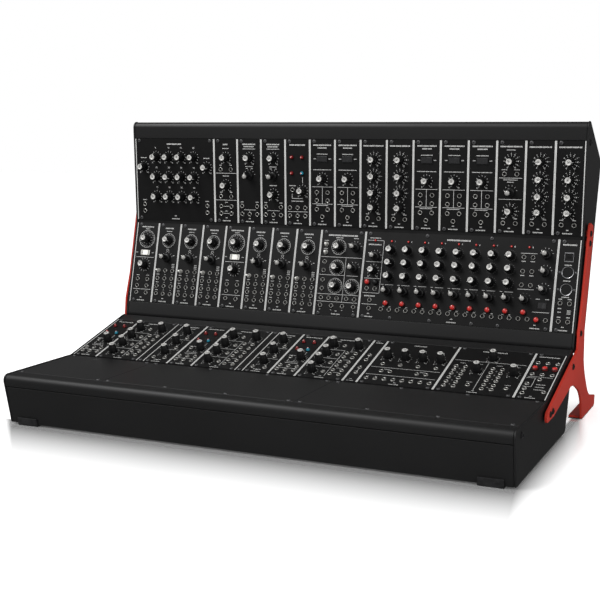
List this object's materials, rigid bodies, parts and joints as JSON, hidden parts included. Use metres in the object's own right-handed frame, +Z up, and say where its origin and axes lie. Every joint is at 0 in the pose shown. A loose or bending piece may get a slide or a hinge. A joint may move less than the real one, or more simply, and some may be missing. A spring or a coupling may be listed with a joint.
{
  "type": "modular synthesizer",
  "caption": "Two-tier desktop modular synthesizer: sheet metal cases full of patchable panels, the upper one tilted back on red steel end stands.",
  "frame": {"origin": "on the floor, under the middle of the whole footprint", "axes": "+X to the right seen from the front, +Y to the rear, +Z up"},
  "size_m": [0.7322, 0.46, 0.4151],
  "materials": {
    "case_black": "satin powder coat",
    "deck_black": "satin powder coat",
    "panel_black": "satin, with light grey lines and scales",
    "red_steel": "satin red powder coat",
    "rail_aluminium": "extruded",
    "circuit_board": "satin lacquer",
    "rubber": "matte",
    "silver_knob": "spun cap on a black fluted skirt",
    "black_plastic": "satin",
    "white_plastic": "semi gloss",
    "red_plastic": "semi gloss"
  },
  "bodies": {
    "case": {"lower_case_tray": "case_black", "lower_left_cheek": "case_black", "lower_right_cheek": "case_black", "lower_rail_frame": "rail_aluminium", "lower_power_board": "circuit_board", "upper_case_tray": "case_black", "upper_left_cheek": "case_black", "upper_right_cheek": "case_black", "upper_rail_frame": "rail_aluminium", "upper_power_board": "circuit_board", "front_left_foot": "rubber", "front_right_foot": "rubber", "rear_left_foot": "rubber", "rear_right_foot": "rubber", "left_stand": "red_steel", "right_stand": "red_steel", "left_stand_pad": "rubber", "right_stand_pad": "rubber", "deck_panel_left": "deck_black", "deck_panel_middle": "deck_black", "deck_panel_right": "deck_black", "filter_bank": "panel_black", "noise_filter_module": "panel_black", "high_pass_module": "panel_black", "low_pass_module": "panel_black", "control_voltage_module": "panel_black", "amplifier_pair": "panel_black", "envelope_pair_left": "panel_black", "amplifier_trio": "panel_black", "trigger_delay_module": "panel_black", "envelope_pair_right": "panel_black", "oscillator_bank_left": "panel_black", "oscillator_bank_right": "panel_black", "large_oscillator_module": "panel_black", "sequencer_module": "panel_black", "interface_module": "panel_black", "voltage_mixer_left": "panel_black", "voltage_mixer_middle": "panel_black", "voltage_mixer_right": "panel_black", "four_knob_module": "panel_black", "dual_mixer_module": "panel_black", "trigger_interface_module": "panel_black"},
    "filter_bank_knob": {"filter_bank_knob": "silver_knob"},
    "high_pass_selector": {"high_pass_selector": "silver_knob"},
    "control_voltage_knob": {"control_voltage_knob": "silver_knob"},
    "amplifier_rocker": {"amplifier_rocker": "black_plastic"},
    "envelope_knob": {"envelope_knob": "silver_knob"},
    "oscillator_driver_knob": {"oscillator_driver_knob": "silver_knob"},
    "oscillator_driver_rocker": {"oscillator_driver_rocker": "white_plastic"},
    "oscillator_selector": {"oscillator_selector": "silver_knob"},
    "oscillator_toggle": {"oscillator_toggle": "silver_knob"},
    "large_oscillator_knob": {"large_oscillator_knob": "silver_knob"},
    "sequencer_knob": {"sequencer_knob": "silver_knob"},
    "sequencer_selector": {"sequencer_selector": "silver_knob"},
    "sequencer_button": {"sequencer_button": "red_plastic"},
    "sequencer_rocker": {"sequencer_rocker": "black_plastic"},
    "mixer_knob": {"mixer_knob": "silver_knob"},
    "trigger_button": {"trigger_button": "red_plastic"},
    "lower_power_rocker": {"lower_power_rocker": "black_plastic"},
    "upper_power_rocker": {"upper_power_rocker": "black_plastic"}
  },
  "joints": [
    {"name": "filter_bank_turn", "type": "hinge", "parent": "case", "child": "filter_bank_knob", "pos_m": [-0.29541, 0.118, 0.29884], "axis": [0, -0.9999, -0.0147], "range_deg": [-150, 150]},
    {"name": "high_pass_select", "type": "hinge", "parent": "case", "child": "high_pass_selector", "pos_m": [-0.1524, 0.11749, 0.33379], "axis": [0, -0.9999, -0.0147], "range_deg": [-75, 75]},
    {"name": "control_voltage_turn", "type": "hinge", "parent": "case", "child": "control_voltage_knob", "pos_m": [-0.06305, 0.11779, 0.31323], "axis": [0, -0.9999, -0.0147], "range_deg": [-150, 150]},
    {"name": "amplifier_rock", "type": "hinge", "parent": "case", "child": "amplifier_rocker", "pos_m": [-0.03048, 0.11784, 0.36079], "axis": [0, -0.0147, 0.9999], "range_deg": [-8, 8]},
    {"name": "envelope_turn", "type": "hinge", "parent": "case", "child": "envelope_knob", "pos_m": [0.0508, 0.11744, 0.33675], "axis": [0, -0.9999, -0.0147], "range_deg": [-150, 150]},
    {"name": "oscillator_driver_turn", "type": "hinge", "parent": "case", "child": "oscillator_driver_knob", "pos_m": [-0.33512, 0.11133, 0.23047], "axis": [0, -0.9679, 0.2514], "range_deg": [-150, 150]},
    {"name": "oscillator_driver_rock", "type": "hinge", "parent": "case", "child": "oscillator_driver_rocker", "pos_m": [-0.33512, 0.10653, 0.20901], "axis": [0, 0.2514, 0.9679], "range_deg": [-8, 8]},
    {"name": "oscillator_select", "type": "hinge", "parent": "case", "child": "oscillator_selector", "pos_m": [-0.13208, 0.10403, 0.20236], "axis": [0, -0.9679, 0.2514], "range_deg": [-75, 75]},
    {"name": "oscillator_flip", "type": "hinge", "parent": "case", "child": "oscillator_toggle", "pos_m": [-0.14479, 0.09741, 0.18284], "axis": [0, 0.2514, 0.9679], "range_deg": [-12, 12]},
    {"name": "large_oscillator_turn", "type": "hinge", "parent": "case", "child": "large_oscillator_knob", "pos_m": [-0.00059, 0.11169, 0.23184], "axis": [0, -0.9679, 0.2514], "range_deg": [-150, 150]},
    {"name": "sequencer_turn", "type": "hinge", "parent": "case", "child": "sequencer_knob", "pos_m": [0.08214, 0.11146, 0.23097], "axis": [0, -0.9679, 0.2514], "range_deg": [-150, 150]},
    {"name": "sequencer_select", "type": "hinge", "parent": "case", "child": "sequencer_selector", "pos_m": [0.08214, 0.09625, 0.17239], "axis": [0, -0.9679, 0.2514], "range_deg": [-75, 75]},
    {"name": "sequencer_press", "type": "slide", "parent": "case", "child": "sequencer_button", "axis": [0, -0.9679, 0.2514], "range_m": [-0.0015, 0], "stiffness_N_per_m": 150, "springref_m": 0.002},
    {"name": "sequencer_rock", "type": "hinge", "parent": "case", "child": "sequencer_rocker", "pos_m": [0.31048, 0.0952, 0.16536], "axis": [0, 0.2514, 0.9679], "range_deg": [-8, 8]},
    {"name": "mixer_turn", "type": "hinge", "parent": "case", "child": "mixer_knob", "pos_m": [-0.25815, 0.02582, 0.09929], "axis": [0, -0.2656, 0.9641], "range_deg": [-150, 150]},
    {"name": "trigger_press", "type": "slide", "parent": "case", "child": "trigger_button", "axis": [0, -0.2656, 0.9641], "range_m": [-0.0015, 0], "stiffness_N_per_m": 150, "springref_m": 0.002},
    {"name": "lower_power_rock", "type": "hinge", "parent": "case", "child": "lower_power_rocker", "pos_m": [-0.234, 0.05931, 0.03923], "axis": [1, 0, 0], "range_deg": [-8, 8]},
    {"name": "upper_power_rock", "type": "hinge", "parent": "case", "child": "upper_power_rocker", "pos_m": [-0.234, 0.18364, 0.37847], "axis": [1, 0, 0], "range_deg": [-8, 8]}
  ]
}
